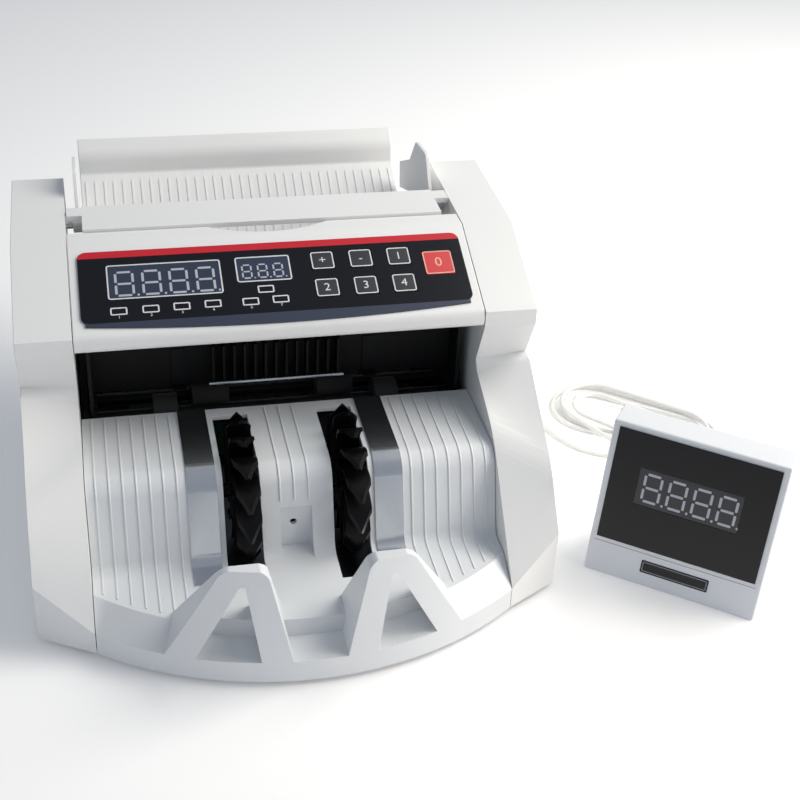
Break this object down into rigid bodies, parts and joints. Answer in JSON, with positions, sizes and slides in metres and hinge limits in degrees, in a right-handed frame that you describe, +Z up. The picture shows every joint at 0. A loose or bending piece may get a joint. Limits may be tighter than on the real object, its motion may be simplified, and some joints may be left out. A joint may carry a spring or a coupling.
{
  "type": "banknote counting machine",
  "caption": "Desktop banknote counter: hopper with folding tray, sloped key panel, finned stacker wheels over a bow-fronted tray with stops, and a corded remote display.",
  "frame": {"origin": "on the table under the middle of the box round the machine and its remote display", "axes": "+X to the right as seen by the operator in front, -Y towards the operator, +Z up"},
  "size_m": [0.452, 0.3707, 0.1836],
  "materials": {
    "white_shell": "fine satin texture, white",
    "white_tray": "satin white moulding",
    "overlay_film": "printed film, black with a red band",
    "display_lens": "slate tinted window",
    "lamp_lens": "small clear lens",
    "key_rubber": "dark key cap with pale outline",
    "key_red": "red key cap",
    "board": "green circuit board",
    "steel": "plain sheet steel",
    "bright_steel": "bright polished strip",
    "shaft_steel": "ground shaft",
    "black_plastic": "black moulding",
    "wheel_rubber": "black flexible fins",
    "roller_rubber": "dark rubber tyre",
    "pulley_plastic": "dark nylon",
    "belt_rubber": "black toothed belt",
    "motor_steel": "zinc grey can",
    "bearing_bronze": "sintered bush",
    "grey_plastic": "silver grey moulding",
    "screen_film": "black gloss front",
    "foot_rubber": "black rubber",
    "cord_sheath": "white soft sheath"
  },
  "bodies": {
    "machine": {"left_side_cover": "white_shell", "right_side_cover": "white_shell", "front_panel": "white_shell", "rear_cover": "white_shell", "stacker_tray": "white_tray", "panel_overlay": "overlay_film", "count_display": "display_lens", "batch_display": "display_lens", "display_digits": "display_lens", "indicator_lamps": "lamp_lens", "panel_board": "board", "main_board": "board", "base_pan": "steel", "left_frame_plate": "steel", "right_frame_plate": "steel", "hopper_plate": "steel", "steel_strips": "bright_steel", "guard_rod": "bright_steel", "spring_tabs": "bright_steel", "guide_rail": "bright_steel", "exit_guide": "black_plastic", "stack_sensor": "black_plastic", "power_inlet": "black_plastic", "display_jack": "black_plastic", "display_gland": "black_plastic", "retard_roller": "roller_rubber", "drive_belt": "belt_rubber", "transport_belt": "belt_rubber", "drive_motor": "motor_steel", "shaft_bearings": "bearing_bronze", "display_housing": "grey_plastic", "display_screen": "screen_film", "rubber_feet": "foot_rubber", "cord_plug": "cord_sheath", "cord_lead": "cord_sheath", "cord_hank": "cord_sheath", "cord_tail": "cord_sheath"},
    "stacker": {"stacker_shaft": "shaft_steel", "left_stacker_wheel": "wheel_rubber", "right_stacker_wheel": "wheel_rubber", "stacker_pulley": "pulley_plastic"},
    "feed": {"feed_shaft": "shaft_steel", "feed_rollers": "roller_rubber"},
    "pickup": {"pickup_shaft": "shaft_steel", "pickup_rollers": "roller_rubber"},
    "exit": {"exit_shaft": "shaft_steel", "exit_rollers": "roller_rubber"},
    "motor_rotor": {"motor_pulley": "pulley_plastic"},
    "flap": {"top_flap": "white_shell"},
    "tray": {"rear_tray": "white_shell"},
    "left_guide": {"left_bill_guide": "white_shell"},
    "right_guide": {"right_bill_guide": "white_shell"},
    "rocker": {"rocker_switch": "black_plastic"},
    "key_plus_cap": {"key_plus": "key_rubber"},
    "key_minus_cap": {"key_minus": "key_rubber"},
    "key_batch_cap": {"key_batch": "key_rubber"},
    "key_add_cap": {"key_add": "key_rubber"},
    "key_uv_cap": {"key_uv": "key_rubber"},
    "key_mg_cap": {"key_mg": "key_rubber"},
    "key_restart_cap": {"key_restart": "key_red"}
  },
  "joints": [
    {"name": "stacker_turn", "type": "hinge", "parent": "machine", "child": "stacker", "pos_m": [-0.06598, -0.07311, 0.0515], "axis": [1, 0, 0], "continuous": true},
    {"name": "feed_turn", "type": "hinge", "parent": "machine", "child": "feed", "pos_m": [-0.06598, 0.01739, 0.06], "axis": [1, 0, 0], "continuous": true},
    {"name": "pickup_turn", "type": "hinge", "parent": "machine", "child": "pickup", "pos_m": [-0.06598, 0.07639, 0.074], "axis": [1, 0, 0], "continuous": true},
    {"name": "exit_turn", "type": "hinge", "parent": "machine", "child": "exit", "pos_m": [-0.06598, -0.01061, 0.0655], "axis": [1, 0, 0], "continuous": true},
    {"name": "motor_rotor_turn", "type": "hinge", "parent": "machine", "child": "motor_rotor", "pos_m": [-0.06598, 0.00939, 0.032], "axis": [1, 0, 0], "continuous": true},
    {"name": "flap_hinge", "type": "hinge", "parent": "machine", "child": "flap", "pos_m": [-0.06598, 0.05339, 0.1675], "axis": [1, 0, 0], "range_deg": [-75, 0]},
    {"name": "tray_fold", "type": "hinge", "parent": "machine", "child": "tray", "pos_m": [-0.06598, 0.09239, 0.099], "axis": [1, 0, 0], "range_deg": [0, 76]},
    {"name": "left_guide_slide", "type": "slide", "parent": "machine", "child": "left_guide", "axis": [-1, 0, 0], "range_m": [-0.025, 0]},
    {"name": "right_guide_slide", "type": "slide", "parent": "machine", "child": "right_guide", "axis": [1, 0, 0], "range_m": [-0.025, 0]},
    {"name": "rocker_tilt", "type": "hinge", "parent": "machine", "child": "rocker", "pos_m": [-0.09798, 0.09739, 0.028], "axis": [1, 0, 0], "range_deg": [-8, 0]},
    {"name": "key_plus_press", "type": "slide", "parent": "machine", "child": "key_plus_cap", "axis": [0, 0.3867, -0.9222], "range_m": [0, 0.0004], "stiffness_N_per_m": 600},
    {"name": "key_minus_press", "type": "slide", "parent": "machine", "child": "key_minus_cap", "axis": [0, 0.3867, -0.9222], "range_m": [0, 0.0004], "stiffness_N_per_m": 600},
    {"name": "key_batch_press", "type": "slide", "parent": "machine", "child": "key_batch_cap", "axis": [0, 0.3867, -0.9222], "range_m": [0, 0.0004], "stiffness_N_per_m": 600},
    {"name": "key_add_press", "type": "slide", "parent": "machine", "child": "key_add_cap", "axis": [0, 0.3867, -0.9222], "range_m": [0, 0.0004], "stiffness_N_per_m": 600},
    {"name": "key_uv_press", "type": "slide", "parent": "machine", "child": "key_uv_cap", "axis": [0, 0.3867, -0.9222], "range_m": [0, 0.0004], "stiffness_N_per_m": 600},
    {"name": "key_mg_press", "type": "slide", "parent": "machine", "child": "key_mg_cap", "axis": [0, 0.3867, -0.9222], "range_m": [0, 0.0004], "stiffness_N_per_m": 600},
    {"name": "key_restart_press", "type": "slide", "parent": "machine", "child": "key_restart_cap", "axis": [0, 0.3867, -0.9222], "range_m": [0, 0.0004], "stiffness_N_per_m": 600}
  ],
  "couplings": [
    {"joint": "feed_turn", "follows": "stacker_turn", "ratio": 1},
    {"joint": "pickup_turn", "follows": "stacker_turn", "ratio": 1},
    {"joint": "exit_turn", "follows": "stacker_turn", "ratio": 1},
    {"joint": "motor_rotor_turn", "follows": "stacker_turn", "ratio": 1}
  ]
}
